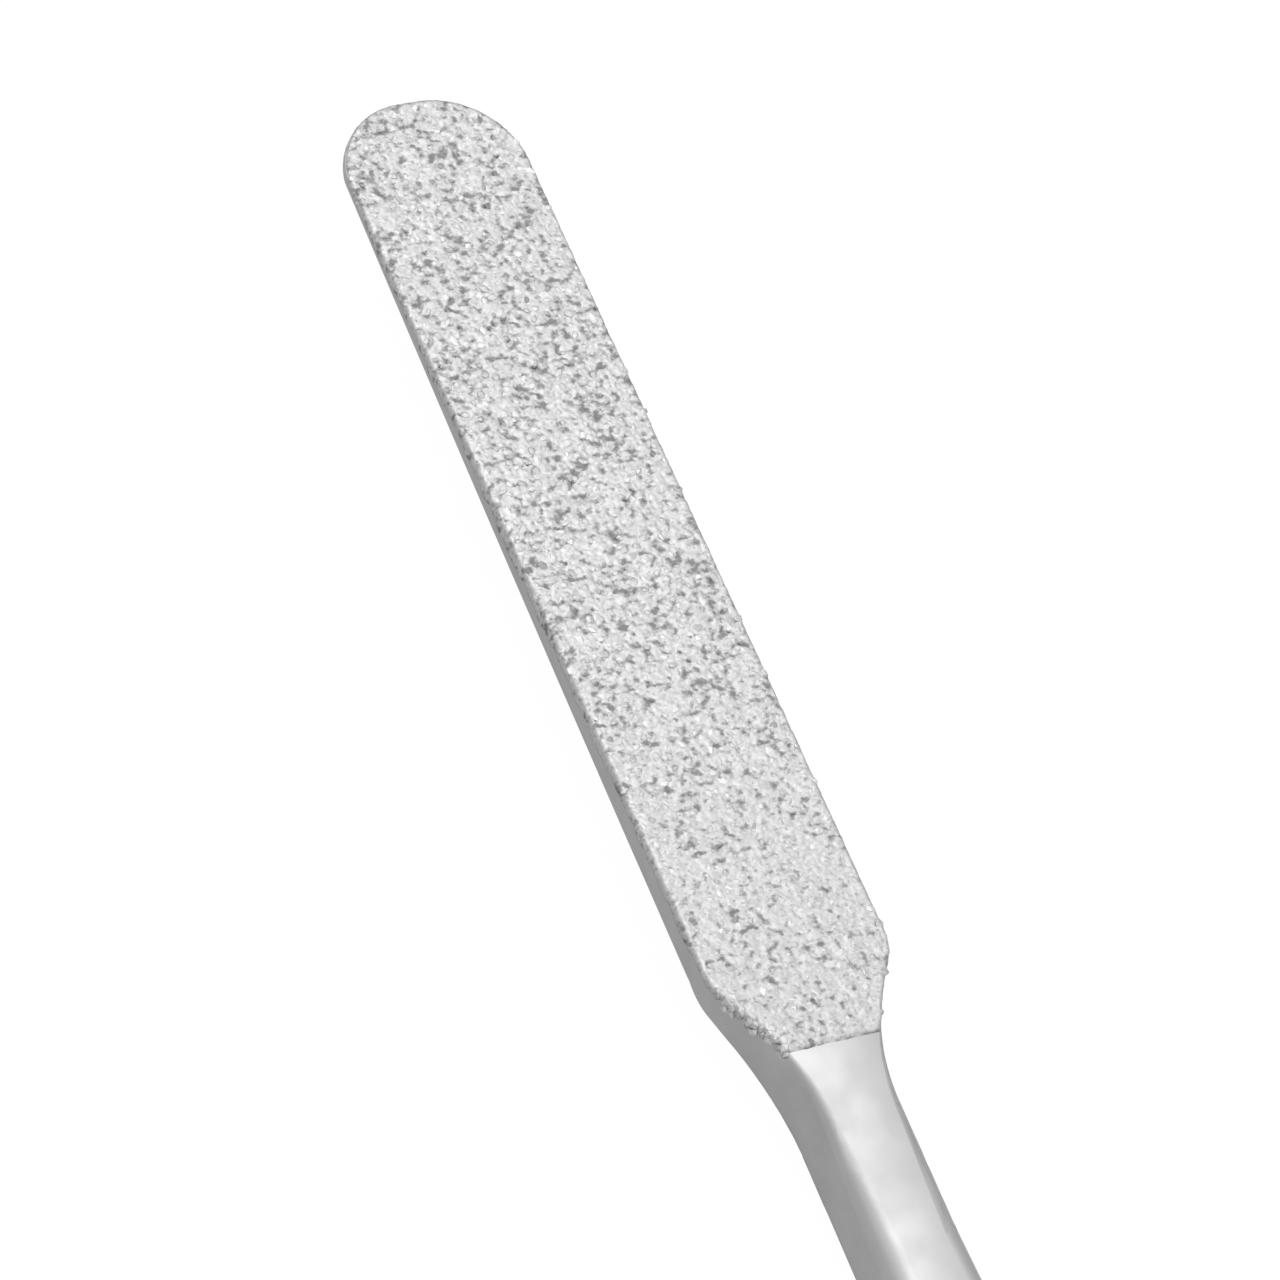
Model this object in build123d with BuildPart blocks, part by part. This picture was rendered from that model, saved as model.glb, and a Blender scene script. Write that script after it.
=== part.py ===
from build123d import *
import os
from math import atan, radians, tan

os.makedirs("parts", exist_ok=True)

# Blade: a thin strip with a round tip, flat on its front and bowed on its back
blade_length = 35.0
blade_width = 7.0
tip_flat_width = 0.8
tip_thickness = 0.22
heel_thickness = 1.1
back_bow = 0.2
back_bow_share = 0.75
blade_front_round = 0.05
tip_back_round = 0.06
heel_back_round = 0.12

# Neck: the shoulders run in to the stem while the back deepens on a ramp, all corners eased
shoulder_angle = 34.0
heel_corner_radius = 1.8
neck_radius = 7.0
back_ramp_length = 2.3
heel_back_radius = 3.0
ramp_end_radius = 8.0
neck_front_round = 0.14

# Stem: a slim bar that widens a little from the neck to the flare, its edges rounder past the neck
neck_width = 2.8
stem_end_width = 4.2
stem_thickness = 2.7
stem_length = 22.0
stem_front_round = 0.8
stem_back_round = 0.6
rounding_length = 5.0

# Handle: a plain flat-sided bar, reached by a flare from the stem
flare_length = 22.0
flare_blend = 6.0
handle_length = 95.0
handle_width = 9.0
handle_thickness = 6.2
handle_round = 2.1
butt_round = 1.8

# Coating: one layer of grit bonded to the blade's front face
coating_thickness = 0.12
coating_margin = 0.06
coating_past_heel = 2.9

# The tip is ground this much wide of the blade's sides, so its round meets them at a slight angle
tip_grind = 0.02

# How many sections shape each curved stretch
blade_section_count = 4
neck_section_count = 33
flare_section_count = 11

# No rounding takes more than this share of the section it is on
largest_round_share = 0.45

# The tip is round but for a short flat in its middle
tip_corner_radius = (blade_width - tip_flat_width) / 2

# Places along the file, with the middle of its whole length at x = 0
shoulder_run = (blade_width - neck_width) / 2 / tan(radians(shoulder_angle))
overall_length = blade_length + shoulder_run + stem_length + flare_length + handle_length
tip_x = -overall_length / 2
heel_x = tip_x + blade_length
neck_x = heel_x + shoulder_run
flare_x = neck_x + stem_length
handle_x = flare_x + flare_length
butt_x = handle_x + handle_length
coating_end_x = heel_x + coating_past_heel
back_ramp_x = heel_x + back_ramp_length
ramp_angle = atan((stem_thickness - heel_thickness) / back_ramp_length)
neck_start_x = heel_x - heel_back_radius * tan(ramp_angle / 2)
stem_x = neck_x + neck_radius * tan(radians(shoulder_angle / 2))
full_round_x = stem_x + rounding_length

# Heights: the file lies on the handle's flat underside, and the stem is centred on the handle
stem_top = (handle_thickness + stem_thickness) / 2
stem_bottom = (handle_thickness - stem_thickness) / 2


# The blade's back has its corner halfway, eased over most of the blade's length into a slight bow
blade_middle_x = (tip_x + heel_x) / 2
blade_middle_thickness = (tip_thickness + heel_thickness) / 2 + back_bow
bow_radius = back_bow_share * blade_length**2 / 4 / back_bow


def blend_radius(rise):
    """Radius that rounds the flare's corner over the blend's length, for a given rise."""
    return flare_blend / tan(atan(abs(rise) / flare_length) / 2)


width_blend = blend_radius((handle_width - stem_end_width) / 2)
height_blend = blend_radius((handle_thickness - stem_thickness) / 2)
front_round_blend = blend_radius(handle_round - stem_front_round)
back_round_blend = blend_radius(handle_round - stem_back_round)

# Plan outline of one half, from the middle of the tip to the butt
with BuildLine() as half_plan:
    FilletPolyline(
        (tip_x, 0),
        (tip_x, blade_width / 2),
        (heel_x, blade_width / 2),
        (neck_x, neck_width / 2),
        (flare_x, stem_end_width / 2),
        (handle_x, handle_width / 2),
        (butt_x, handle_width / 2),
        radius=[tip_corner_radius, heel_corner_radius, neck_radius, width_blend, width_blend],
    )

# Side outlines, drawn as height over distance: the front face and the back
with BuildLine() as front_line:
    FilletPolyline(
        (tip_x, stem_top),
        (flare_x, stem_top),
        (handle_x, handle_thickness),
        (butt_x, handle_thickness),
        radius=height_blend,
    )

with BuildLine() as back_line:
    FilletPolyline(
        (tip_x, stem_top - tip_thickness),
        (blade_middle_x, stem_top - blade_middle_thickness),
        (heel_x, stem_top - heel_thickness),
        (back_ramp_x, stem_bottom),
        (flare_x, stem_bottom),
        (handle_x, 0),
        (butt_x, 0),
        radius=[bow_radius, heel_back_radius, ramp_end_radius, height_blend, height_blend],
    )

# Corner rounding along the file, drawn as radius over distance, at the front and at the back
with BuildLine() as front_round_line:
    FilletPolyline(
        (tip_x, blade_front_round),
        (heel_x, blade_front_round),
        (coating_end_x, neck_front_round),
        (full_round_x, stem_front_round),
        (flare_x, stem_front_round),
        (handle_x, handle_round),
        (butt_x, handle_round),
        radius=[0, 0, 0, front_round_blend, front_round_blend],
    )

with BuildLine() as back_round_line:
    FilletPolyline(
        (tip_x, tip_back_round),
        (heel_x, heel_back_round),
        (full_round_x, stem_back_round),
        (flare_x, stem_back_round),
        (handle_x, handle_round),
        (butt_x, handle_round),
        radius=[0, 0, back_round_blend, back_round_blend],
    )


def value_at(outline, x):
    """Height of an outline above its base line at a distance along the file."""
    upright = Edge.make_line((x, -handle_width), (x, handle_width))
    return outline.wire().intersect(upright)[0].center().Y


def spread(start, end, count):
    """Evenly spaced places from start to end."""
    return [start + (end - start) * index / (count - 1) for index in range(count)]


def section_at(x):
    """Cross-section of the file at a place along it: a rectangle with rounded corners."""
    half_width = value_at(half_plan, x) if x > tip_x + tip_corner_radius else blade_width / 2
    top = value_at(front_line, x)
    bottom = value_at(back_line, x)
    largest_round = largest_round_share * min(2 * half_width, top - bottom)
    with BuildSketch(Plane((x, 0, (top + bottom) / 2), x_dir=(0, 1, 0), z_dir=(1, 0, 0))) as section:
        Rectangle(2 * half_width, top - bottom)
        front_corners = section.vertices().group_by(Axis.Y)[-1]
        fillet(front_corners, min(value_at(front_round_line, x), largest_round))
        back_corners = section.vertices().group_by(Axis.Y)[0]
        fillet(back_corners, min(value_at(back_round_line, x), largest_round))
    return section.sketch


# The shaped stretches, each one smooth from end to end, and then the straight handle
flare_start_x = flare_x - flare_blend
flare_end_x = handle_x + flare_blend
shaped_stretches = [
    spread(tip_x, neck_start_x, blade_section_count),
    spread(neck_start_x, full_round_x, neck_section_count),
    [full_round_x, flare_start_x],
    spread(flare_start_x, flare_end_x, flare_section_count),
]

# The forged steel: blade, neck, stem and handle in one piece
with BuildPart() as file_body:
    for stretch in shaped_stretches:
        loft([section_at(x) for x in stretch])
    extrude(section_at(flare_end_x), amount=butt_x - flare_end_x)

    # The round tip is ground from above, square to the front face
    with BuildSketch() as tip_outline:
        with BuildLine():
            add(half_plan.line)
            Polyline((butt_x, handle_width / 2), (butt_x, 0), (tip_x, 0))
        make_face()
        mirror(about=Plane.XZ)
        offset(amount=tip_grind)
    extrude(amount=2 * handle_thickness, both=True, mode=Mode.INTERSECT)

    # Rounded butt
    fillet(file_body.faces().sort_by(Axis.X)[-1].edges(), butt_round)

file_body.part.label = "file_body"

# The grit layer covers the front face from the tip to a straight end just past the shoulders
with BuildPart() as grit_coating:
    with BuildSketch(Plane.XY.offset(stem_top)):
        with BuildLine():
            add(half_plan.line)
            Polyline((butt_x, handle_width / 2), (butt_x, 0), (tip_x, 0))
        make_face()
        mirror(about=Plane.XZ)
        offset(amount=-coating_margin)
        with Locations((coating_end_x, 0)):
            Rectangle(overall_length, blade_width, align=(Align.MAX, Align.CENTER), mode=Mode.INTERSECT)
    extrude(amount=coating_thickness)

grit_coating.part.label = "grit_coating"

export_step(file_body.part, "parts/file_body.step")
export_step(grit_coating.part, "parts/grit_coating.step")
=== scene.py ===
"""A bone file at rest: a satin steel body, with one layer of bonded grit on the blade's front."""

import logging
import math
from dataclasses import astuple, dataclass, field
from enum import Enum
from typing import ClassVar

import bmesh
import bpy
import numpy as np
from mathutils import Matrix, Vector
from mathutils.geometry import delaunay_2d_cdt
from mathutils.kdtree import KDTree


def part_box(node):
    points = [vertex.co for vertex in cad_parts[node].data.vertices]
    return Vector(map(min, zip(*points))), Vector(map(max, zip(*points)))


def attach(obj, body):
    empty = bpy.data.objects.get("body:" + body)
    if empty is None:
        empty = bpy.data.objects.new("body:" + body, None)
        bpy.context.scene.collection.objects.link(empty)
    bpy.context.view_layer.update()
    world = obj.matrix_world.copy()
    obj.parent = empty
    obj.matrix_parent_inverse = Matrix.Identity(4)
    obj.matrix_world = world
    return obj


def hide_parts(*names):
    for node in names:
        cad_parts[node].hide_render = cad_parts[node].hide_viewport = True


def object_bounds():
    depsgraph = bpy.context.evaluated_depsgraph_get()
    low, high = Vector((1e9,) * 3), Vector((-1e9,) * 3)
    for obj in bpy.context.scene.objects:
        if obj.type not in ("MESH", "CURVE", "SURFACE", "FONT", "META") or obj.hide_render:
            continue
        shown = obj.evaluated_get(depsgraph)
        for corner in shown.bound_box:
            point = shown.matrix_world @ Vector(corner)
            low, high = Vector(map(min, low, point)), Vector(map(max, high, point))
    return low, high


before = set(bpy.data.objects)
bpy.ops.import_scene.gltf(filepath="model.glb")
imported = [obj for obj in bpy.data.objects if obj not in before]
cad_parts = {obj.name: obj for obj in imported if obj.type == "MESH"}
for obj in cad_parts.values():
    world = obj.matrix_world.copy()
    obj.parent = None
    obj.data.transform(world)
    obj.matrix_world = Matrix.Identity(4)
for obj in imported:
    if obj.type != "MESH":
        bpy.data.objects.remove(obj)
CAD_LOW, CAD_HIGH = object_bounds()

MM = 0.001
BODY = "root"
STEEL_NODE = "file_body"
COATING_NODE = "grit_coating"
WELD_DISTANCE = 0.001 * MM
WHITE = (1.0, 1.0, 1.0, 1.0)
UNIT = (0.0, 1.0)

# The result asked of delaunay_2d_cdt: the triangles inside the outline
INSIDE_OUTLINE = 1

Tree = bpy.types.NodeTree
Node = bpy.types.Node
Socket = bpy.types.NodeSocket

# What a node's input takes: a plain value, or a socket to link
Filling = float | str | tuple[float, ...] | Socket

log = logging.getLogger("bone_file")


class Slot(Enum):
    """The record's material slots, after which the finishes are named too."""

    STEEL = "satin_steel"
    GRIT = "grit"

    @property
    def finish_name(self) -> str:
        """The name of the material that dresses this slot."""
        return f"{self.value}_finish"


class Kind(Enum):
    """What kind of value a node handles, in Blender's words."""

    NUMBER = "FLOAT"
    INDEX = "INT"
    VECTOR = "FLOAT_VECTOR"
    MAP_PLACE = "FLOAT2"


class Domain(Enum):
    """Which elements a value belongs to, in Blender's words."""

    POINT = "POINT"
    CORNER = "CORNER"
    FACE = "FACE"
    INSTANCE = "INSTANCE"


def new_material(name: str) -> tuple[bpy.types.Material, Node]:
    """Makes an empty node material.

    Args:
        name: The material's name.

    Returns:
        The material and its Principled shader.
    """
    material = bpy.data.materials.new(name)
    material.use_nodes = True
    tree = material.node_tree
    tree.nodes.clear()
    output = tree.nodes.new("ShaderNodeOutputMaterial")
    shader = tree.nodes.new("ShaderNodeBsdfPrincipled")
    tree.links.new(shader.outputs["BSDF"], output.inputs["Surface"])
    return material, shader


def fill(tree: Tree, socket: Socket, value: Filling) -> None:
    """Links a socket to another, or sets its value.

    Args:
        tree: The node tree.
        socket: The input to fill.
        value: What goes in.
    """
    if isinstance(value, Socket):
        tree.links.new(value, socket)
    else:
        socket.default_value = value


def set_inputs(tree: Tree, node: Node, **inputs: Filling) -> None:
    """Fills a node's inputs.

    Args:
        tree: The node tree.
        node: The node.
        inputs: What goes in, by the input's name, with _ for a space.
    """
    for name, value in inputs.items():
        fill(tree, node.inputs[name.replace("_", " ")], value)


def add(tree: Tree, kind: str, **inputs: Filling) -> Node:
    """Adds a node and fills its inputs.

    Args:
        tree: The node tree.
        kind: The node's type.
        inputs: What goes in, by the input's name, with _ for a space.

    Returns:
        The new node.
    """
    node = tree.nodes.new(kind)
    set_inputs(tree, node, **inputs)
    return node


def operate(tree: Tree, kind: str, operation: str, values: tuple[Filling, ...]) -> Socket:
    """Adds a node that works a result out of its inputs.

    Args:
        tree: The node tree.
        kind: The node's type.
        operation: Its operation.
        values: What goes into the inputs that the operation uses, in order.

    Returns:
        The result's socket.
    """
    node = tree.nodes.new(kind)
    node.operation = operation
    used = [socket for socket in node.inputs if socket.enabled]
    for socket, value in zip(used, values):
        fill(tree, socket, value)
    return node.outputs[0]


def calculate(tree: Tree, operation: str, *values: Filling) -> Socket:
    """Adds a Math node and gives its result's socket."""
    return operate(tree, "ShaderNodeMath", operation, values)


def calculate_vector(tree: Tree, operation: str, *values: Filling) -> Socket:
    """Adds a Vector Math node and gives its result's socket."""
    return operate(tree, "ShaderNodeVectorMath", operation, values)


def axis_of(tree: Tree, vector: Socket, axis: str) -> Socket:
    """Takes one axis, X, Y or Z, out of a vector."""
    return add(tree, "ShaderNodeSeparateXYZ", Vector=vector).outputs[axis]


def grey(tree: Tree, level: Socket) -> Socket:
    """Makes a neutral colour of a level."""
    return add(tree, "ShaderNodeCombineColor", Red=level, Green=level, Blue=level).outputs["Color"]


def remap(
    tree: Tree, value: Socket, old: tuple[Filling, Filling], new: tuple[Filling, Filling]
) -> Socket:
    """Adds a clamped Map Range node.

    Args:
        tree: The node tree.
        value: The socket to map.
        old: Where its range starts and ends.
        new: What the range starts and ends at afterwards.

    Returns:
        The result's socket.
    """
    node = add(tree, "ShaderNodeMapRange", Value=value)
    set_inputs(tree, node, From_Min=old[0], From_Max=old[1], To_Min=new[0], To_Max=new[1])
    return node.outputs["Result"]


def noise(
    tree: Tree, place: Socket, scale: Filling, detail: float, roughness: float = 0.5
) -> Socket:
    """Adds a Noise Texture node.

    Args:
        tree: The node tree.
        place: The position's socket.
        scale: How many bumps there are to a metre.
        detail: How many finer layers lie on them.
        roughness: How strong the finer layers are.

    Returns:
        The noise's socket.
    """
    node = add(tree, "ShaderNodeTexNoise", Vector=place, Scale=scale)
    set_inputs(tree, node, Detail=detail, Roughness=roughness)
    return node.outputs["Fac"]


def merged_copy(node: str) -> bmesh.types.BMesh:
    """Copies a CAD node's mesh and joins its loose triangles.

    Args:
        node: The CAD node's name.

    Returns:
        The copy, which the caller frees.
    """
    shape = bmesh.new()
    shape.from_mesh(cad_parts[node].data)
    bmesh.ops.remove_doubles(shape, verts=shape.verts, dist=WELD_DISTANCE)
    return shape


def to_object(name: str, shape: bmesh.types.BMesh) -> bpy.types.Object:
    """Turns a bmesh into an object at the origin.

    Args:
        name: The object's name.
        shape: The bmesh, which is freed.

    Returns:
        The new object, linked to the scene.
    """
    mesh = bpy.data.meshes.new(name)
    shape.to_mesh(mesh)
    shape.free()
    piece = bpy.data.objects.new(name, mesh)
    bpy.context.scene.collection.objects.link(piece)
    return piece


@dataclass(frozen=True)
class PorePattern:
    """Small irregular pores, crowded in patches and fewer towards the heel.

    Its sizes are numbers in the finish and sockets in the trees, so both have the same pores: the
    trees sink the grit in them, and the finish darkens their colour as painted shade.
    """

    DETAIL: ClassVar[float] = 3.0
    EDGE: ClassVar[tuple[float, float]] = (0.515, 0.665)
    STRETCH: ClassVar[tuple[float, float, float]] = (1.15, 0.85, 1.0)
    PATCH_DETAIL: ClassVar[float] = 1.0
    PATCH_WEIGHT: ClassVar[float] = 0.35

    # The trees' names for the sizes below, in their order
    INPUTS: ClassVar[tuple[str, ...]] = (
        "Pore Spacing",
        "Patch Spacing",
        "Calm From",
        "Calm To",
        "Calm",
    )

    spacing: Filling
    patch_spacing: Filling
    calm_from: Filling
    calm_to: Filling
    calm: Filling

    def level(self, tree: Tree, place: Socket) -> Socket:
        """Adds the pattern to a tree.

        Args:
            tree: The node tree.
            place: The position's socket.

        Returns:
            A socket with 0 in a pore and 1 between pores.
        """
        spot = calculate_vector(tree, "MULTIPLY", place, self.STRETCH)
        small = noise(tree, spot, calculate(tree, "DIVIDE", 1.0, self.spacing), self.DETAIL)
        scale = calculate(tree, "DIVIDE", 1.0, self.patch_spacing)
        large = noise(tree, place, scale, self.PATCH_DETAIL)
        pattern = calculate(tree, "MULTIPLY_ADD", large, self.PATCH_WEIGHT, small)
        along = axis_of(tree, place, "X")
        thinned = remap(tree, along, (self.calm_from, self.calm_to), (0.0, self.calm))
        return remap(tree, calculate(tree, "ADD", pattern, thinned), self.EDGE, UNIT)


@dataclass(frozen=True)
class SatinSteel:
    """Stainless steel, bead-blasted to a soft satin."""

    colour: float = 0.6
    roughness: float = 0.42
    roughness_spread: float = 0.05
    cloud_size: float = 1.6 * MM
    cloud_detail: float = 3.0
    cloud_depth: float = 0.05
    cloud_range: tuple[float, float] = (0.3, 0.7)
    blast_pit_size: float = 0.05 * MM
    blast_pit_detail: float = 2.0
    blast_pit_depth: float = 0.0008 * MM
    blast_strength: float = 0.35
    crown_radius: float = 10 * MM
    crown_fade: tuple[float, float] = (-28 * MM, -8 * MM)

    def material(self) -> bpy.types.Material:
        """Builds the material.

        Returns:
            The material.
        """
        material, shader = new_material(Slot.STEEL.finish_name)
        tree = material.node_tree
        place = tree.nodes.new("ShaderNodeTexCoord").outputs["Object"]
        cloud = noise(tree, place, 1 / self.cloud_size, self.cloud_detail)
        levels = (self.colour * (1 - self.cloud_depth), self.colour * (1 + self.cloud_depth))
        spread = self.roughness_spread
        sheens = (self.roughness + spread, self.roughness - spread)
        pits = noise(tree, place, 1 / self.blast_pit_size, self.blast_pit_detail)
        bump = add(tree, "ShaderNodeBump", Height=pits, Normal=self.crown(tree, place))
        set_inputs(tree, bump, Strength=self.blast_strength, Distance=self.blast_pit_depth)
        set_inputs(
            tree,
            shader,
            Base_Color=grey(tree, remap(tree, cloud, self.cloud_range, levels)),
            Metallic=1.0,
            Roughness=remap(tree, cloud, self.cloud_range, sheens),
            Normal=bump.outputs["Normal"],
        )
        return material

    def crown(self, tree: Tree, place: Socket) -> Socket:
        """The slight crown that the polishing left across the neck and the stem, not the handle.

        Args:
            tree: The material's node tree.
            place: The position's socket.

        Returns:
            The crowned normal's socket.
        """
        along, across = axis_of(tree, place, "X"), axis_of(tree, place, "Y")

        # Near its top, a round of radius r falls by y * y / (2 * r)
        bend = remap(tree, along, self.crown_fade, (-1 / (2 * self.crown_radius), 0.0))
        height = calculate(tree, "MULTIPLY", calculate(tree, "MULTIPLY", across, across), bend)
        crowned = add(tree, "ShaderNodeBump", Strength=1.0, Distance=1.0, Height=height)
        return crowned.outputs["Normal"]


@dataclass(frozen=True)
class GritFinish:
    """Bright angular grains, each with a tone of its own, a little duller towards the heel, and
    darker in the pores as painted shade.
    """

    # The darkest level is the painted shade in the middle of a pore
    darkest: float = 0.3
    brightest: float = 0.82
    heel_share: float = 0.93
    dull_roughness: float = 0.6
    bright_roughness: float = 0.45

    def material(self, pores: PorePattern) -> bpy.types.Material:
        """Builds the material.

        Args:
            pores: The pores, where the colour is darkened as painted shade.

        Returns:
            The material.
        """
        material, shader = new_material(Slot.GRIT.finish_name)
        tree = material.node_tree
        place = tree.nodes.new("ShaderNodeTexCoord").outputs["Object"]
        attribute = tree.nodes.new("ShaderNodeAttribute")
        attribute.attribute_name = GrowthTree.TONE
        # The tone is multiplied by the pores, so their colour is darkened as painted shade in the
        # pits
        tone = calculate(tree, "MULTIPLY", attribute.outputs["Fac"], pores.level(tree, place))
        level = remap(tree, tone, UNIT, (self.darkest, self.brightest))
        along = axis_of(tree, place, "X")
        share = remap(tree, along, (pores.calm_from, pores.calm_to), (1.0, self.heel_share))
        set_inputs(
            tree,
            shader,
            Base_Color=grey(tree, calculate(tree, "MULTIPLY", level, share)),
            Metallic=1.0,
            Roughness=remap(tree, tone, UNIT, (self.dull_roughness, self.bright_roughness)),
        )
        return material


@dataclass
class GrowthTree:
    """What the grit's Geometry Nodes trees share: inputs, random draws, pores, tone and UV map."""

    TONE: ClassVar[str] = "tone"
    TONE_SEED: ClassVar[int]
    DULLEST_TONE: ClassVar[float] = 0.2
    UV_MAP: ClassVar[str] = "OFBake"

    # A face that looks up less than this is an underside, and lies this far apart on the map
    UNDERSIDE: ClassVar[float] = 0.0
    UNDERSIDE_SHIFT: ClassVar[float] = 0.5

    # The number inputs, those of each tree and those that all have
    SIZES: ClassVar[tuple[str, ...]]
    SHARED_SIZES: ClassVar[tuple[str, ...]] = (
        *PorePattern.INPUTS,
        "Pore Depth",
        "Dull Share",
        "Bright Tone",
        "Tone Spread",
        "Map Width",
    )

    name: str
    tree: Tree = field(init=False)
    sockets: dict[str, str] = field(init=False, default_factory=dict)
    given: bpy.types.NodeOutputs = field(init=False)
    place: Socket = field(init=False)
    normal: Socket = field(init=False)

    def __post_init__(self) -> None:
        """Makes the empty tree, declares its inputs and fills it."""
        self.tree = bpy.data.node_groups.new(self.name, "GeometryNodeTree")
        self.tree.is_modifier = True
        kinds = {
            "Geometry": "Geometry",
            **dict.fromkeys((*self.SIZES, *self.SHARED_SIZES), "Float"),
            "Map Corner": "Vector",
            "Seed": "Int",
            "Finish": "Material",
        }
        sockets = self.tree.interface
        for name, kind in kinds.items():
            socket = sockets.new_socket(name, in_out="INPUT", socket_type=f"NodeSocket{kind}")
            self.sockets[name] = socket.identifier
        sockets.new_socket("Geometry", in_out="OUTPUT", socket_type="NodeSocketGeometry")
        self.given = self.tree.nodes.new("NodeGroupInput").outputs
        self.place = self.tree.nodes.new("GeometryNodeInputPosition").outputs["Position"]
        self.normal = self.tree.nodes.new("GeometryNodeInputNormal").outputs["Normal"]
        self.build()

    def build(self) -> None:
        """Fills the tree."""
        raise NotImplementedError

    def random(self, low: Filling, high: Filling, seed: int, kind: Kind = Kind.NUMBER) -> Socket:
        """Adds a Random Value node with a seed of its own.

        Args:
            low: The lowest value.
            high: The highest value.
            seed: How far its seed is from the tree's.
            kind: The kind of value.

        Returns:
            The result's socket.
        """
        node = self.tree.nodes.new("FunctionNodeRandomValue")
        node.data_type = kind.value
        used = [socket for socket in node.inputs if socket.enabled]
        for socket, value in zip(used, (low, high)):
            fill(self.tree, socket, value)
        set_inputs(self.tree, node, Seed=calculate(self.tree, "ADD", self.given["Seed"], seed))
        return next(socket for socket in node.outputs if socket.enabled)

    def either_way(self, reach: Socket, seed: int) -> Socket:
        """A random value between minus and plus a reach."""
        return self.random(calculate(self.tree, "MULTIPLY", reach, -1.0), reach, seed)

    def vector(self, x: Filling = 0.0, y: Filling = 0.0, z: Filling = 0.0) -> Socket:
        """Puts three values together as a vector."""
        return add(self.tree, "ShaderNodeCombineXYZ", X=x, Y=y, Z=z).outputs["Vector"]

    def moved(
        self, geometry: Socket, way: Socket, distance: Socket, chosen: Filling = True
    ) -> Socket:
        """Moves points.

        Args:
            geometry: The geometry's socket.
            way: The way they move.
            distance: How far.
            chosen: Which of them.

        Returns:
            The moved geometry's socket.
        """
        offset = calculate_vector(self.tree, "SCALE", way, distance)
        node = add(self.tree, "GeometryNodeSetPosition", Geometry=geometry, Offset=offset)
        set_inputs(self.tree, node, Selection=chosen)
        return node.outputs["Geometry"]

    def realized(self, geometry: Socket) -> Socket:
        """Makes instances real."""
        return add(self.tree, "GeometryNodeRealizeInstances", Geometry=geometry).outputs["Geometry"]

    def store(
        self, kind: Kind, domain: Domain, geometry: Socket, name: str, value: Socket
    ) -> Socket:
        """Stores a value as a named attribute.

        Args:
            kind: The kind of value.
            domain: What it is stored on.
            geometry: The geometry's socket.
            name: The attribute's name.
            value: The value's socket.

        Returns:
            The geometry's socket with the attribute.
        """
        node = self.tree.nodes.new("GeometryNodeStoreNamedAttribute")
        node.data_type = kind.value
        node.domain = domain.value
        set_inputs(self.tree, node, Geometry=geometry, Name=name, Value=value)
        return node.outputs["Geometry"]

    def near_heel(self, low: Filling, high: Filling) -> Socket:
        """A value that changes along the file, from the middle of the blade to the heel."""
        reach = (self.given["Calm From"], self.given["Calm To"])
        return remap(self.tree, axis_of(self.tree, self.place, "X"), reach, (low, high))

    def sunk(self) -> Socket:
        """Works out how deep the grit lies.

        Returns:
            A socket with nothing between pores, and the whole depth in a pore.
        """
        pores = PorePattern(*[self.given[name] for name in PorePattern.INPUTS])
        depth = calculate(self.tree, "SUBTRACT", 1.0, pores.level(self.tree, self.place))
        return calculate(self.tree, "MULTIPLY", depth, self.given["Pore Depth"])

    def toned(self, domain: Domain, geometry: Socket) -> Socket:
        """Gives each element a random tone: most of them bright, a few dull.

        Args:
            domain: What has a tone each.
            geometry: The geometry's socket.

        Returns:
            The geometry's socket with the tones.
        """
        chance = self.random(0.0, 1.0, self.TONE_SEED)
        dull = (0.0, self.given["Dull Share"])
        bright = remap(self.tree, chance, dull, (self.DULLEST_TONE, self.given["Bright Tone"]))
        tone = calculate(self.tree, "MULTIPLY_ADD", chance, self.given["Tone Spread"], bright)
        return self.store(Kind.NUMBER, domain, geometry, self.TONE, tone)

    def finish(self, geometry: Socket, place: Socket | None = None) -> None:
        """Lays the UV map on, with the undersides apart, sets the finish and closes the tree.

        Args:
            geometry: The grown geometry's socket.
            place: Where each point lies on the map, or nothing for its place seen from above.
        """
        tree, given = self.tree, self.given
        spot = calculate_vector(tree, "SUBTRACT", place or self.place, given["Map Corner"])
        scale = calculate(tree, "DIVIDE", 1.0, given["Map Width"])
        face = tree.nodes.new("GeometryNodeFieldOnDomain")
        face.data_type = Kind.NUMBER.value
        face.domain = Domain.FACE.value
        set_inputs(tree, face, Value=axis_of(tree, self.normal, "Z"))
        under = calculate(tree, "LESS_THAN", face.outputs["Value"], self.UNDERSIDE)
        shift = self.vector(y=calculate(tree, "MULTIPLY", under, self.UNDERSIDE_SHIFT))
        spot = calculate_vector(tree, "ADD", calculate_vector(tree, "SCALE", spot, scale), shift)
        mapped = self.store(Kind.MAP_PLACE, Domain.CORNER, geometry, self.UV_MAP, spot)
        finished = add(tree, "GeometryNodeSetMaterial", Geometry=mapped, Material=given["Finish"])
        add(tree, "NodeGroupOutput", Geometry=finished.outputs["Geometry"])

    def grow(self, ground: bpy.types.Object, values: dict[str, object]) -> None:
        """Replaces an object's mesh with what the tree grows on it.

        Args:
            ground: The object whose mesh is the ground.
            values: The tree's inputs by name.
        """
        modifier = ground.modifiers.new(self.name, "NODES")
        modifier.node_group = self.tree
        for name, value in values.items():
            modifier[self.sockets[name]] = value
        view = bpy.context.evaluated_depsgraph_get()
        grown = bpy.data.meshes.new_from_object(ground.evaluated_get(view), depsgraph=view)
        grown.name = ground.name
        ground.modifiers.remove(modifier)
        bare = ground.data
        ground.data = grown
        bpy.data.meshes.remove(bare)


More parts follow.
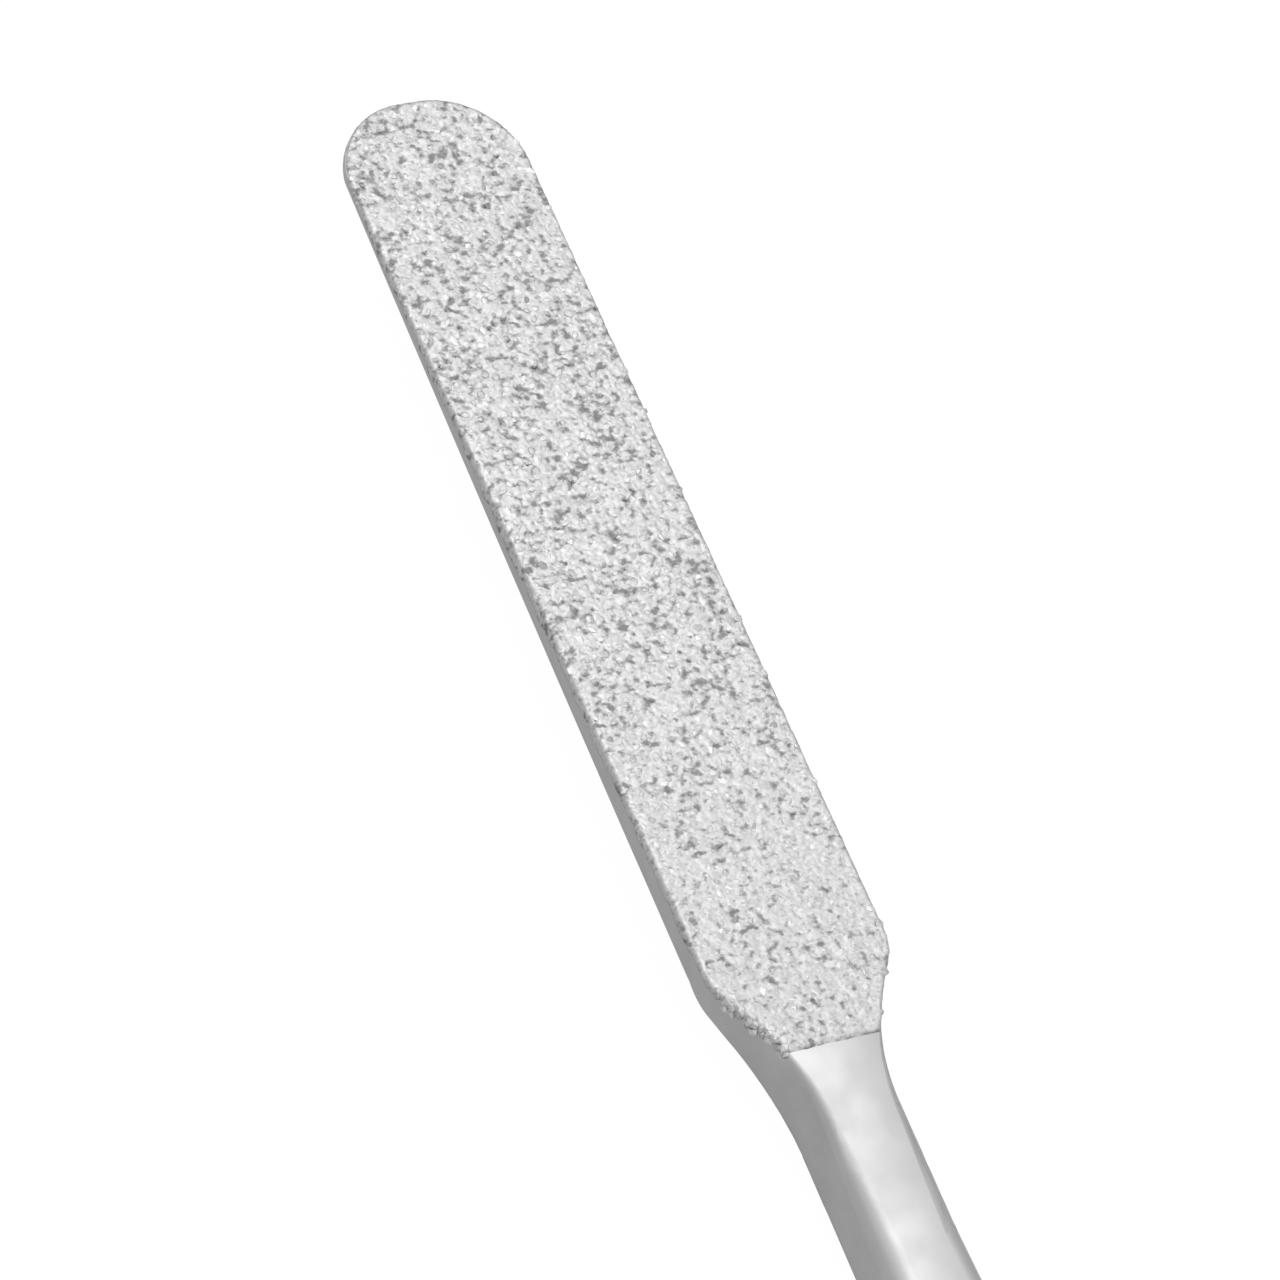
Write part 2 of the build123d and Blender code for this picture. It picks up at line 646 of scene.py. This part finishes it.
class CrustTree(GrowthTree):
    """The Geometry Nodes tree that turns a smooth sheet of triangles into a rough crust."""

    FLAT: ClassVar[str] = "flat_place"
    TONE_SEED: ClassVar[int] = 2
    UNDERSIDE: ClassVar[float] = -0.5

    # How far up the crust looks where its bumps begin, and between which they reach full height
    BUMPS_ABOVE: ClassVar[float] = -0.3
    RIM_SLOPES: ClassVar[tuple[float, float]] = (0.3, 0.95)
    BUMP_DETAIL: ClassVar[float] = 2.0
    BUMP_ROUGHNESS: ClassVar[float] = 0.6
    BUMP_RANGE: ClassVar[tuple[float, float]] = (0.25, 0.75)
    SIZES: ClassVar[tuple[str, ...]] = (
        "Relief",
        "Relief Spacing",
        "Heel Relief",
        "Heel Spacing",
        "Rim Relief",
    )

    def build(self) -> None:
        """Builds the tree: bumps, wide and low near the heel, then pores, tone, UV map, finish."""
        tree, given = self.tree, self.given
        share = self.near_heel(1.0, given["Heel Relief"])
        fine = self.bumps(given["Relief Spacing"])
        wide = calculate(tree, "MULTIPLY", self.bumps(given["Heel Spacing"]), self.near_heel(*UNIT))
        bump = calculate(tree, "MULTIPLY_ADD", fine, share, wide)
        bump = calculate(tree, "MULTIPLY", bump, given["Relief"])
        pore = calculate(tree, "MULTIPLY", self.sunk(), share)
        facing = axis_of(tree, self.normal, "Z")
        smoothed = remap(tree, facing, self.RIM_SLOPES, (given["Rim Relief"], 1.0))
        height = calculate(tree, "MULTIPLY", calculate(tree, "SUBTRACT", bump, pore), smoothed)
        free = calculate(tree, "GREATER_THAN", facing, self.BUMPS_ABOVE)
        rough = self.moved(given["Geometry"], self.normal, height, free)
        seen = calculate(tree, "GREATER_THAN", facing, self.UNDERSIDE)
        soft = add(tree, "GeometryNodeSetShadeSmooth", Geometry=rough, Selection=seen)
        real = self.realized(self.toned(Domain.POINT, soft.outputs["Geometry"]))
        flat = tree.nodes.new("GeometryNodeInputNamedAttribute")
        flat.data_type = Kind.VECTOR.value
        set_inputs(tree, flat, Name=self.FLAT)
        self.finish(real, flat.outputs["Attribute"])

    def bumps(self, spacing: Socket) -> Socket:
        """Rounded bumps between minus and plus one.

        Args:
            spacing: How far the bumps lie apart.

        Returns:
            The bumps' socket.
        """
        scale = calculate(self.tree, "DIVIDE", 1.0, spacing)
        level = noise(self.tree, self.place, scale, self.BUMP_DETAIL, self.BUMP_ROUGHNESS)
        return remap(self.tree, level, self.BUMP_RANGE, (-1.0, 1.0))


class GrainTree(GrowthTree):
    """The Geometry Nodes tree that scatters angular grains over the ground."""

    LIFT_SEED: ClassVar[int] = 1
    TURN_SEED: ClassVar[int] = 2
    SIZE_SEED: ClassVar[int] = 3
    TONE_SEED: ClassVar[int] = 4
    CORNER_SEED: ClassVar[int] = 5
    SHAPE_SEED: ClassVar[int] = 6

    # How many points are tried in each square of the spacing before the close ones go
    TRIES: ClassVar[float] = 6.0

    # The turns that bring a corner of the grain, its flat, and the middle between them on top
    GRAIN_TURNS: ClassVar[tuple[float, ...]] = (0.0, 0.326, 0.652)

    SIZES: ClassVar[tuple[str, ...]] = (
        "Spacing",
        "Fade Low",
        "Fade High",
        "Grain Size",
        "Size Spread",
        "Flatness",
        "Tilt",
        "Lift",
        "Lift Spread",
        "Heel Sink",
        "Corner Shift",
    )

    def build(self) -> None:
        """Builds the tree: points, a grain on each, uneven corners, tone, UV map and finish."""
        tree, given = self.tree, self.given
        points = self.scatter()
        upwards = points.outputs["Normal"]
        uneven = self.either_way(given["Lift Spread"], self.LIFT_SEED)
        lift = calculate(tree, "ADD", given["Lift"], uneven)
        depth = calculate(tree, "ADD", self.sunk(), self.near_heel(0.0, given["Heel Sink"]))
        height = calculate(tree, "SUBTRACT", lift, depth)
        lifted = self.moved(points.outputs["Points"], upwards, height)
        grains = self.place_grains(lifted, points.outputs["Rotation"])
        real = self.realized(self.toned(Domain.INSTANCE, grains))
        way = self.random((-1.0,) * 3, (1.0,) * 3, self.CORNER_SEED, Kind.VECTOR)
        self.finish(self.moved(real, way, given["Corner Shift"]))

    def scatter(self) -> Node:
        """Scatters points evenly over the ground, fewer where it lies low.

        Returns:
            The node whose outputs are the points, their normals and their rotations.
        """
        tree, given = self.tree, self.given
        area = calculate(tree, "MULTIPLY", given["Spacing"], given["Spacing"])
        fade = (given["Fade Low"], given["Fade High"])
        points = tree.nodes.new("GeometryNodeDistributePointsOnFaces")
        points.distribute_method = "POISSON"
        set_inputs(
            tree,
            points,
            Mesh=given["Geometry"],
            Distance_Min=given["Spacing"],
            Density_Max=calculate(tree, "DIVIDE", self.TRIES, area),
            Density_Factor=remap(tree, axis_of(tree, self.place, "Z"), fade, UNIT),
            Seed=given["Seed"],
        )
        return points

    def place_grains(self, points: Socket, upright: Socket) -> Socket:
        """Puts a grain of one of the shapes on each point, at a slight tilt.

        Args:
            points: The points.
            upright: The rotation that stands each grain on the ground.

        Returns:
            The grains' socket.
        """
        tree, given = self.tree, self.given
        ball = add(tree, "GeometryNodeMeshIcoSphere", Radius=0.5, Subdivisions=1).outputs["Mesh"]
        shapes = tree.nodes.new("GeometryNodeGeometryToInstance")
        for turn in self.GRAIN_TURNS:
            shape = add(tree, "GeometryNodeTransform", Geometry=ball, Rotation=(0.0, turn, 0.0))
            set_inputs(tree, shapes, Geometry=shape.outputs["Geometry"])
        tilt = given["Tilt"]
        back = calculate(tree, "MULTIPLY", tilt, -1.0)
        least_turn, most_turn = self.vector(back, back, 0.0), self.vector(tilt, tilt, math.tau)
        angles = self.random(least_turn, most_turn, self.TURN_SEED, Kind.VECTOR)
        tilted = add(tree, "FunctionNodeEulerToRotation", Euler=angles).outputs["Rotation"]
        turned = add(tree, "FunctionNodeRotateRotation", Rotation=upright, Rotate_By=tilted)
        turned.rotation_space = "LOCAL"
        ends = []
        for operation in ("SUBTRACT", "ADD"):
            width = calculate(tree, operation, 1.0, given["Size Spread"])
            height = calculate(tree, "MULTIPLY", width, given["Flatness"])
            ends.append(self.vector(width, width, height))
        size = self.random(*ends, self.SIZE_SEED, Kind.VECTOR)
        grains = add(
            tree,
            "GeometryNodeInstanceOnPoints",
            Points=points,
            Instance=shapes.outputs["Instances"],
            Pick_Instance=True,
            Instance_Index=self.random(0, len(self.GRAIN_TURNS) - 1, self.SHAPE_SEED, Kind.INDEX),
            Rotation=turned.outputs["Rotation"],
            Scale=calculate_vector(tree, "SCALE", size, given["Grain Size"]),
        )
        return grains.outputs["Instances"]


@dataclass
class SteelBody:
    """The forged file body, from the tip of the blade to the butt of the handle."""

    finish: SatinSteel = SatinSteel()

    def dress(self) -> None:
        """Gives the CAD body its satin finish."""
        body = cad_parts[STEEL_NODE]
        body.data.materials.clear()
        body.data.materials.append(self.finish.material())
        log.info("dressed %s in %s", STEEL_NODE, body.data.materials[0].name)


@dataclass
class Rim:
    """The grit's rim in the flat: where it turns down over the blade's edge, and how far it goes.

    Each field has a row or a value for each point of the rim.
    """

    fold: np.ndarray
    outward: np.ndarray
    weight: np.ndarray
    overhang: np.ndarray

    @property
    def edge(self) -> np.ndarray:
        """The outline of the grit in the flat, rows of x and y."""
        return self.fold + self.outward * self.overhang[:, None]

    def beyond(self, line: np.ndarray, spots: np.ndarray) -> tuple[np.ndarray, np.ndarray]:
        """Measures how far spots lie outside a line that runs along the rim.

        Args:
            line: The line's points, one for each point of the rim.
            spots: Rows of x and y.

        Returns:
            The distances, less than nothing inside the line, and the nearest points' places in it.
        """
        finder = KDTree(len(line))
        for index, point in enumerate(line):
            finder.insert((*point, 0.0), index)
        finder.balance()
        nearest = np.array([finder.find((*spot, 0.0))[1] for spot in spots])
        return np.einsum("ij,ij->i", spots - line[nearest], self.outward[nearest]), nearest

    def drape(self, spots: np.ndarray, top: float, radius: float) -> np.ndarray:
        """Lays flat spots over the blade's edge in a round turn.

        Args:
            spots: Rows of x and y.
            top: The height of the flat.
            radius: The turn's radius.

        Returns:
            Rows of x, y and z.
        """
        past, nearest = self.beyond(self.fold, spots)
        run = np.clip(past + radius, 0.0, None)
        angle = np.minimum(run / radius, math.pi / 2)
        shift = radius * np.sin(angle) - run
        drop = radius * (1 - np.cos(angle)) + np.clip(run - radius * math.pi / 2, 0.0, None)
        return np.column_stack([spots + self.outward[nearest] * shift[:, None], top - drop])


@dataclass
class GritLayer:
    """One layer of angular grains bonded to the blade's front, and the crust that holds them."""

    # The crust of bond metal and its bumps
    crust_share: float = 0.9
    crust_spacing: float = 0.085 * MM
    crust_jitter: float = 0.3
    crust_relief: float = 0.032 * MM
    crust_tone: float = 0.5
    relief_spacing: float = 0.2 * MM
    heel_relief: float = 0.25
    heel_spacing: float = 0.38 * MM

    # Where it turns down over the blade's edge and thins out at its end on the neck
    rim_relief: float = 0.4
    rim_clearance: float = 0.7
    rim_jitter: float = 0.015 * MM
    rim_fade: float = 0.04 * MM
    edge_reach: float = 0.08 * MM
    end_fade: float = 0.6 * MM
    end_slope: float = 0.35 * MM
    end_drop: float = 0.045 * MM
    turn_radius: float = 0.15 * MM
    overhang: float = 0.14 * MM
    overhang_swell: float = 1.5
    overhang_spread: float = 0.35
    overhang_wave: float = 0.45 * MM
    foot_inset: float = 0.12 * MM
    foot_start: int = 6

    # The grains
    spacing: float = 0.34 * MM
    grain_size: float = 0.36 * MM
    grain_tone: float = 0.58
    size_spread: float = 0.35
    flatness: float = 0.3
    tilt: float = 0.2
    sink: float = 0.028 * MM
    lift_spread: float = 0.008 * MM
    heel_sink: float = 0.014 * MM
    corner_shift: float = 0.012 * MM

    # The pores, sunk in the grit and darkened in its colour as painted shade, and the tones, in the
    # crust and the grains alike
    pore_spacing: float = 0.3 * MM
    patch_spacing: float = 1.1 * MM
    pore_depth: float = 0.03 * MM
    heel_calm: float = 0.06
    dull_share: float = 0.04
    tone_spread: float = 0.38

    # The grains that spilled over one shoulder
    spill_start: float = 2.6 * MM
    spill_reach: float = 0.5 * MM
    spill_spacing: float = 0.2 * MM
    spill_facing: float = 0.3
    spill_flatness: float = 0.7
    # Many more spilled grains are dull than on the face: painted shade on the shoulder's side
    spill_dull_and_shade_share: float = 0.3

    # The margin of the UV map, and the seed of all that is random
    map_margin: float = 0.8 * MM
    seed: int = 7

    finish: GritFinish = GritFinish()

    low: Vector = field(init=False)
    high: Vector = field(init=False)
    top: float = field(init=False)
    shared: dict[str, object] = field(init=False)

    def __post_init__(self) -> None:
        """Reads the coating's box and builds the finish and the inputs that both trees share."""
        self.low, self.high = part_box(COATING_NODE)
        self.top = self.low.z + (self.high.z - self.low.z) * self.crust_share
        calm = ((self.low.x + self.high.x) / 2, self.high.x, self.heel_calm)
        pores = PorePattern(self.pore_spacing, self.patch_spacing, *calm)
        self.shared = {
            **dict(zip(PorePattern.INPUTS, astuple(pores))),
            "Pore Depth": self.pore_depth,
            "Dull Share": self.dull_share,
            "Tone Spread": self.tone_spread,
            "Map Corner": self.low - Vector((self.map_margin,) * 3),
            "Map Width": self.high.x - self.low.x + 2 * self.map_margin,
            "Seed": self.seed,
            "Finish": self.finish.material(pores),
        }

    def build(self) -> None:
        """Builds the crust and the grains in place of the coating, and what spilled beside it."""
        rim = self.trace_rim()
        sheet = self.lay_sheet(rim)
        ground = sheet.copy()
        self.build_crust(sheet, rim)
        self.build_grains(ground)
        self.build_spill()

    def coating_outline(self) -> np.ndarray:
        """Reads the outline of the CAD coating.

        Returns:
            Rows of x and y, counterclockwise seen from above, and the first row again at the end.
        """
        shape = merged_copy(COATING_NODE)
        middle = (self.low.z + self.high.z) / 2
        upper = [corner.co for corner in shape.verts if corner.co.z > middle]
        half = sorted((corner.x, corner.y) for corner in upper if corner.y > 0)
        shape.free()
        outline = [*[(x, -y) for x, y in half], *reversed(half)]
        return np.array([*outline, outline[0]])

    def trace_rim(self) -> Rim:
        """Follows the coating's outline, and says how far the grit hangs over at each point.

        Returns:
            The rim, its points evenly spaced.
        """
        outline = self.coating_outline()
        steps = np.linalg.norm(np.diff(outline, axis=0), axis=1)
        run = np.concatenate([[0.0], np.cumsum(steps)])
        length = run[-1]
        places = np.linspace(0.0, length, int(length / self.crust_spacing), endpoint=False)
        points = np.column_stack([np.interp(places, run, outline[:, axis]) for axis in (0, 1)])
        along = np.roll(points, -1, axis=0) - np.roll(points, 1, axis=0)
        along /= np.linalg.norm(along, axis=1)[:, None]
        outward = np.column_stack([along[:, 1], -along[:, 0]])
        weight = np.clip((self.high.x - points[:, 0]) / self.end_fade, 0.0, 1.0)
        chance = np.random.default_rng(self.seed)
        lowest, highest = 1 - self.overhang_spread, 1 + self.overhang_spread
        waves = chance.uniform(lowest, highest, int(length / self.overhang_wave))
        uneven = np.interp(places, np.linspace(0.0, length, len(waves)), waves)
        share = (points[:, 0] - self.low.x) / (self.high.x - self.low.x)
        swell = 1 + self.overhang_swell * np.sin(math.pi * share)
        jitter = chance.uniform(-self.rim_jitter, self.rim_jitter, len(points))
        return Rim(
            fold=points + outward * (self.edge_reach * weight)[:, None],
            outward=outward,
            weight=weight,
            overhang=self.overhang * weight * swell * uneven + jitter,
        )

    def lay_sheet(self, rim: Rim) -> bmesh.types.BMesh:
        """Lays a sheet of uneven triangles over the front face and the edge of the blade.

        Args:
            rim: The rim.

        Returns:
            The sheet, with the corners on its edge first, each corner with its place in the flat.
        """
        count = len(rim.fold)
        spots = [Vector(spot) for spot in np.vstack([rim.edge, self.inner_spots(rim)])]
        ring = [(index, (index + 1) % count) for index in range(count)]
        result = delaunay_2d_cdt(spots, ring, [], INSIDE_OUTLINE, WELD_DISTANCE)
        corners, _, faces = result[:3]
        places = rim.drape(np.array(corners), self.top, self.turn_radius)
        near_end = np.clip(1 - (self.high.x - places[:, 0]) / self.end_slope, 0.0, 1.0)
        places[:, 2] -= self.end_drop * near_end
        shape = bmesh.new()
        flat = shape.verts.layers.float_vector.new(CrustTree.FLAT)
        vertices = [shape.verts.new(place) for place in places]
        for vertex, corner in zip(vertices, corners):
            vertex[flat] = corner.to_3d()
        for face in faces:
            shape.faces.new([vertices[index] for index in face])
        return shape

    def inner_spots(self, rim: Rim) -> np.ndarray:
        """Spreads uneven spots inside the rim, a row at a time.

        Args:
            rim: The rim.

        Returns:
            The spots as rows of x and y.
        """
        spacing = self.crust_spacing
        most = (1 + self.overhang_spread) * (1 + self.overhang_swell)
        reach = self.edge_reach + self.overhang * most
        rows = np.arange(self.low.x - reach, self.high.x, spacing * math.sqrt(3) / 2)
        lanes = np.arange(self.low.y - reach, self.high.y + reach, spacing)
        x, y = np.meshgrid(rows, lanes, indexing="ij")
        y = y + (np.arange(len(rows)) % 2)[:, None] * spacing / 2
        spots = np.column_stack([x.ravel(), y.ravel()])
        jitter = self.crust_jitter * spacing
        spots += np.random.default_rng(self.seed + 1).uniform(-jitter, jitter, spots.shape)
        past, _ = rim.beyond(rim.edge, spots)
        return spots[past < -self.rim_clearance * spacing]

    def build_crust(self, sheet: bmesh.types.BMesh, rim: Rim) -> None:
        """Builds the closed crust of bond metal: the sheet on a foot, which the tree roughens.

        The walls and the underside are built in a fixed order, so that each run gives the same
        mesh: the point of the rim where the underside starts decides how it falls into triangles.

        Args:
            sheet: The sheet, which is used up.
            rim: The rim.
        """
        sheet.verts.ensure_lookup_table()
        flat = sheet.verts.layers.float_vector[CrustTree.FLAT]
        edge = [sheet.verts[index] for index in range(len(rim.fold))]
        foot = []
        for corner, outward, weight in zip(edge, rim.outward, rim.weight):
            fall = min(self.low.z - corner.co.z, 0.0)
            move = Vector((*(-outward * self.foot_inset * weight), fall))
            foot.append(sheet.verts.new(corner.co + move))
            foot[-1][flat] = corner[flat] + Vector((*outward, 0.0)) * move.length
        for index in range(len(foot)):
            sheet.faces.new((edge[index], edge[index - 1], foot[index - 1], foot[index]))
        sheet.faces.new([foot[self.foot_start - step] for step in range(len(foot))])
        bmesh.ops.recalc_face_normals(sheet, faces=sheet.faces)
        crust = to_object("grit_crust", sheet)
        CrustTree("crust_relief").grow(crust, {
            **self.shared,
            "Relief": self.crust_relief,
            "Relief Spacing": self.relief_spacing,
            "Heel Relief": self.heel_relief,
            "Heel Spacing": self.heel_spacing,
            "Rim Relief": self.rim_relief,
            "Bright Tone": self.crust_tone,
        })
        self.hand_over(crust)

    def build_grains(self, ground: bmesh.types.BMesh) -> None:
        """Grows the grains on the sheet, up to where it turns down.

        Args:
            ground: The sheet, which is used up.
        """
        grains = to_object("grit_grains", ground)
        GrainTree("grain_scatter").grow(grains, {
            **self.grain_inputs(),
            "Fade Low": self.top - self.rim_fade,
            "Fade High": self.top,
        })
        self.hand_over(grains)

    def grain_inputs(self) -> dict[str, object]:
        """Lists the grains' inputs.

        Returns:
            The inputs that the face and the shoulder share, by name.
        """
        return {
            **self.shared,
            "Spacing": self.spacing,
            "Grain Size": self.grain_size,
            "Size Spread": self.size_spread,
            "Flatness": self.flatness,
            "Tilt": self.tilt,
            "Lift": -self.sink,
            "Lift Spread": self.lift_spread,
            "Heel Sink": self.heel_sink,
            "Corner Shift": self.corner_shift,
            "Bright Tone": self.grain_tone,
        }

    def build_spill(self) -> None:
        """Grows the few grains that spilled over the shoulder's edge, fewer further down, and more
        of them dull as painted shade on the side.
        """
        shape = merged_copy(STEEL_NODE)
        for x, side in ((self.high.x - self.spill_start, -1.0), (self.high.x, 1.0)):
            bmesh.ops.bisect_plane(
                shape,
                geom=[*shape.verts, *shape.edges, *shape.faces],
                plane_co=(x, 0.0, 0.0),
                plane_no=(side, 0.0, 0.0),
                clear_outer=True,
            )
        facing = -self.spill_facing
        lost = [face for face in shape.faces if face.normal.y > facing or face.normal.z < facing]
        bmesh.ops.delete(shape, geom=lost, context="FACES")
        spill = to_object("grit_spill", shape)
        GrainTree("spill_scatter").grow(spill, {
            **self.grain_inputs(),
            "Spacing": self.spill_spacing,
            "Fade Low": self.low.z - self.spill_reach,
            "Fade High": self.low.z,
            "Flatness": self.spill_flatness,
            "Lift": 0.0,
            "Heel Sink": 0.0,
            # More of these grains are dull, as painted shade on the shoulder's side
            "Dull Share": self.spill_dull_and_shade_share,
        })
        self.hand_over(spill)

    def hand_over(self, piece: bpy.types.Object) -> None:
        """Lets a piece ride on the body and stand for the CAD coating.

        Args:
            piece: The finished piece.
        """
        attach(piece, BODY)
        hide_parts(COATING_NODE)
        triangles = sum(len(face.vertices) - 2 for face in piece.data.polygons)
        log.info("built %s with %d triangles", piece.name, triangles)


@dataclass(frozen=True)
class Softbox:
    """A square area lamp that looks at the file."""

    name: str
    direction: tuple[float, float, float]
    distance: float
    width: float
    brightness: float

    def build(self, aim: Vector) -> None:
        """Hangs the lamp.

        Args:
            aim: The point it looks at.
        """
        lamp = bpy.data.lights.new(self.name, "AREA")
        lamp.shape = "SQUARE"
        lamp.size = self.width
        lamp.energy = self.brightness * math.pi * self.width**2
        holder = bpy.data.objects.new(self.name, lamp)
        bpy.context.scene.collection.objects.link(holder)
        way = Vector(self.direction).normalized()
        turn = way.to_track_quat("Z", "Y").to_matrix().to_4x4()
        holder.matrix_world = Matrix.Translation(aim + way * self.distance) @ turn
        log.info("hung %s", self.name)


@dataclass
class Studio:
    """A plain pale floor under soft light."""

    floor_width: float = 4.0
    floor_drop: float = 0.01 * MM
    floor_colour: float = 0.48
    floor_white: float = 0.87
    floor_shine: float = 0.15
    white_level: float = 1.11
    sky_low: float = 0.5
    sky_high: float = 1.1
    softboxes: tuple[Softbox, ...] = (
        Softbox(
            name="key_softbox",
            direction=(-0.4, 0.1, 0.85),
            distance=0.7,
            width=0.6,
            brightness=0.7,
        ),
    )

    def build(self) -> None:
        """Builds the floor, the sky and the lamps."""
        self.build_floor()
        self.build_sky()
        middle = (CAD_LOW + CAD_HIGH) / 2
        for softbox in self.softboxes:
            softbox.build(middle)

    def build_floor(self) -> None:
        """Lays the floor just under what the file rests on."""
        shape = bmesh.new()
        bmesh.ops.create_grid(shape, x_segments=1, y_segments=1, size=self.floor_width / 2)
        for corner in shape.verts:
            corner.co.z = CAD_LOW.z - self.floor_drop
        floor = to_object("floor", shape)
        floor.data.materials.append(self.floor_material())
        log.info("laid the floor")

    def floor_material(self) -> bpy.types.Material:
        """Builds a pale material, nearly white to the camera, that still takes a shadow.

        Returns:
            The material.
        """
        material, shader = new_material("pale_floor")
        tree = material.node_tree
        shader.inputs["Base Color"].default_value = (self.floor_colour,) * 3 + (1.0,)
        set_inputs(tree, shader, Roughness=1.0, Specular_IOR_Level=0.0)
        path = tree.nodes.new("ShaderNodeLightPath").outputs
        mirrored = calculate(tree, "MAXIMUM", path["Is Glossy Ray"], path["Is Transmission Ray"])
        plain = calculate(tree, "MULTIPLY", path["Is Camera Ray"], self.floor_white)
        share = calculate(tree, "MULTIPLY_ADD", mirrored, self.floor_shine, plain)
        white = add(tree, "ShaderNodeEmission", Color=WHITE, Strength=self.white_level)
        mix = tree.nodes.new("ShaderNodeMixShader")
        sources = (share, shader.outputs["BSDF"], white.outputs["Emission"])
        for socket, source in zip(mix.inputs, sources):
            fill(tree, socket, source)
        output = next(node for node in tree.nodes if node.type == "OUTPUT_MATERIAL")
        set_inputs(tree, output, Surface=mix.outputs["Shader"])
        return material

    def build_sky(self) -> None:
        """Makes the world a soft dome, brighter overhead than at its foot."""
        world = bpy.data.worlds.new("studio_dome")
        bpy.context.scene.world = world
        world.use_nodes = True
        tree = world.node_tree
        tree.nodes.clear()
        way = tree.nodes.new("ShaderNodeTexCoord").outputs["Generated"]
        level = remap(tree, axis_of(tree, way, "Z"), UNIT, (self.sky_low, self.sky_high))
        background = add(tree, "ShaderNodeBackground", Color=grey(tree, level), Strength=1.0)
        add(tree, "ShaderNodeOutputWorld", Surface=background.outputs["Background"])
        log.info("lit the dome")


@dataclass
class PhotoCamera:
    """The camera at the photograph's viewing angle, close over the blade and tilted on its side."""

    aim_point: tuple[float, float, float] = (-66.376 * MM, -0.44 * MM, 4.45 * MM)
    distance: float = 217.75 * MM
    forward: tuple[float, float, float] = (-0.3854, 0.4723, -0.7927)
    picture_right: tuple[float, float, float] = (0.3807, 0.8639, 0.3297)
    focal_length_mm: float = 182.71
    sensor_width_mm: float = 36.0
    clip_start: float = 10 * MM

    def build(self) -> None:
        """Places the camera and makes it the scene's own."""
        lens = bpy.data.cameras.new("photo_camera")
        lens.sensor_width = self.sensor_width_mm
        lens.lens = self.focal_length_mm
        lens.clip_start = self.clip_start
        camera = bpy.data.objects.new("photo_camera", lens)
        bpy.context.scene.collection.objects.link(camera)
        back = -Vector(self.forward).normalized()
        up = back.cross(Vector(self.picture_right)).normalized()
        right = up.cross(back)
        place = Matrix.Translation(Vector(self.aim_point) + back * self.distance)
        camera.matrix_world = place @ Matrix((right, up, back)).transposed().to_4x4()
        bpy.context.scene.camera = camera
        log.info("placed the camera")


def main() -> None:
    """Builds the file and its studio, in order."""
    logging.basicConfig(level=logging.INFO, format="%(name)s: %(message)s")
    bpy.context.scene.view_settings.view_transform = "Standard"
    SteelBody().dress()
    GritLayer().build()
    Studio().build()
    PhotoCamera().build()


if __name__ == "__main__":
    main()
